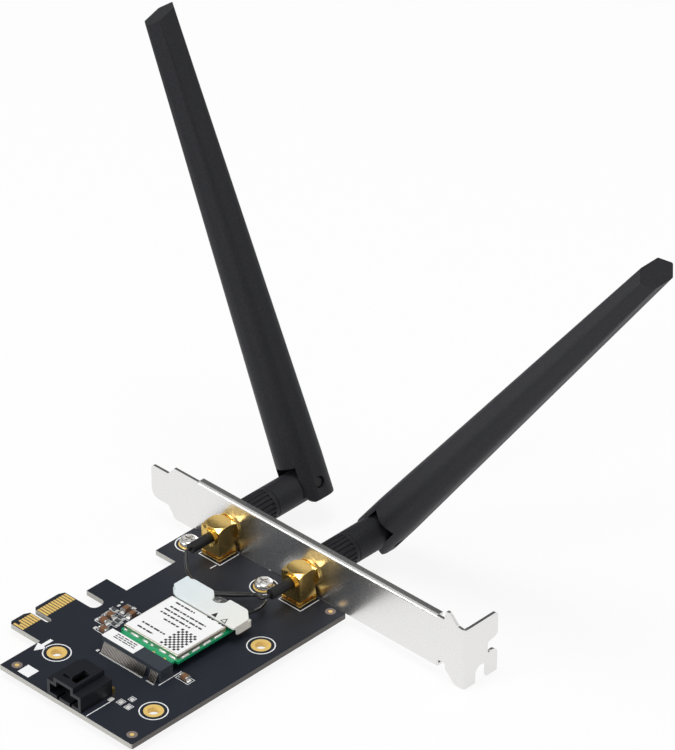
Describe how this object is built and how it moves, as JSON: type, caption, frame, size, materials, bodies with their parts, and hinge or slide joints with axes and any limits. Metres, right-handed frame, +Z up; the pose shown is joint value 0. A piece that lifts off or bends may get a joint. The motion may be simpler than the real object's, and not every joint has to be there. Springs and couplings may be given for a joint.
{
  "type": "pcie wireless network card",
  "caption": "plug-in wireless card: board with edge fingers and slot bracket, radio module in a socket, coaxial jacks and tilting antennas",
  "frame": {"origin": "middle of the key notch on the finger edge, at the component face of the board", "axes": "+X away from the bracket, +Y from the fingers to the card's top edge, +Z up from the component face"},
  "size_m": [0.1313, 0.1757, 0.1422],
  "materials": {
    "board": "matte solder mask over glass-fibre board",
    "gold": "gold-plated, polished",
    "bracket_metal": "satin nickel-plated sheet",
    "screw_metal": "bright plated",
    "pin_metal": "blackened",
    "white_plastic": "smooth",
    "sleeve": "matte heat-shrink",
    "cable": "satin jacket",
    "green_board": "solder mask",
    "shield_metal": "tinned, satin",
    "label": "smooth printed label, print left off",
    "socket_plastic": "moulded, matte",
    "tin": "tinned",
    "cover_film": "milky soft plastic",
    "header_plastic": "moulded, satin",
    "capacitor": "fired ceramic",
    "chip": "glazed",
    "antenna_plastic": "fine matte moulded surface"
  },
  "bodies": {
    "card": {"circuit_board": "board", "edge_contacts": "gold", "hole_plating": "gold", "screw_pads": "gold", "bracket": "bracket_metal", "bracket_screws": "screw_metal", "coax_jack_1": "gold", "coax_jack_2": "gold", "jack_insulators": "white_plastic", "jack_pins": "gold", "jack_washers": "gold", "jack_nuts": "gold", "heat_shrink_sleeves": "sleeve", "pigtail_1": "cable", "pigtail_2": "cable", "coax_plugs": "gold", "module_jacks": "gold", "radio_board": "green_board", "radio_shield": "shield_metal", "radio_label": "label", "radio_socket": "socket_plastic", "radio_socket_contacts": "tin", "socket_label": "label", "module_standoff": "gold", "module_screw": "screw_metal", "plug_cover": "cover_film", "usb_header": "header_plastic", "usb_header_pins": "gold", "capacitor_bodies": "capacitor", "capacitor_terminals": "tin", "chip_resistors": "chip", "antenna_ferrule_1": "gold", "antenna_ferrule_2": "gold"},
    "nut_1": {"antenna_nut_1": "antenna_plastic", "nut_insert_1": "gold"},
    "nut_2": {"antenna_nut_2": "antenna_plastic", "nut_insert_2": "gold"},
    "collar_1": {"antenna_collar_1": "antenna_plastic"},
    "collar_2": {"antenna_collar_2": "antenna_plastic"},
    "paddle_1": {"antenna_paddle_1": "antenna_plastic", "pivot_pin_1": "pin_metal"},
    "paddle_2": {"antenna_paddle_2": "antenna_plastic", "pivot_pin_2": "pin_metal"}
  },
  "joints": [
    {"name": "nut_1_turn", "type": "hinge", "parent": "card", "child": "nut_1", "pos_m": [-0.0686, 0.0188, 0.00735], "axis": [-1, 0, 0], "continuous": true},
    {"name": "antenna_1_swivel", "type": "hinge", "parent": "card", "child": "collar_1", "pos_m": [-0.0789, 0.0188, 0.00735], "axis": [-1, 0, 0], "range_deg": [-156.7, 23.3]},
    {"name": "antenna_1_tilt", "type": "hinge", "parent": "collar_1", "child": "paddle_1", "pos_m": [-0.0894, 0.0188, 0.00735], "axis": [0, 0.9184, 0.3955], "range_deg": [-90, 0]},
    {"name": "nut_2_turn", "type": "hinge", "parent": "card", "child": "nut_2", "pos_m": [-0.0686, 0.05, 0.00735], "axis": [-1, 0, 0], "continuous": true},
    {"name": "antenna_2_swivel", "type": "hinge", "parent": "card", "child": "collar_2", "pos_m": [-0.0789, 0.05, 0.00735], "axis": [-1, 0, 0], "range_deg": [-36.2, 143.8]},
    {"name": "antenna_2_tilt", "type": "hinge", "parent": "collar_2", "child": "paddle_2", "pos_m": [-0.0894, 0.05, 0.00735], "axis": [0, 0.807, -0.5906], "range_deg": [-84.6, 5.4]}
  ]
}
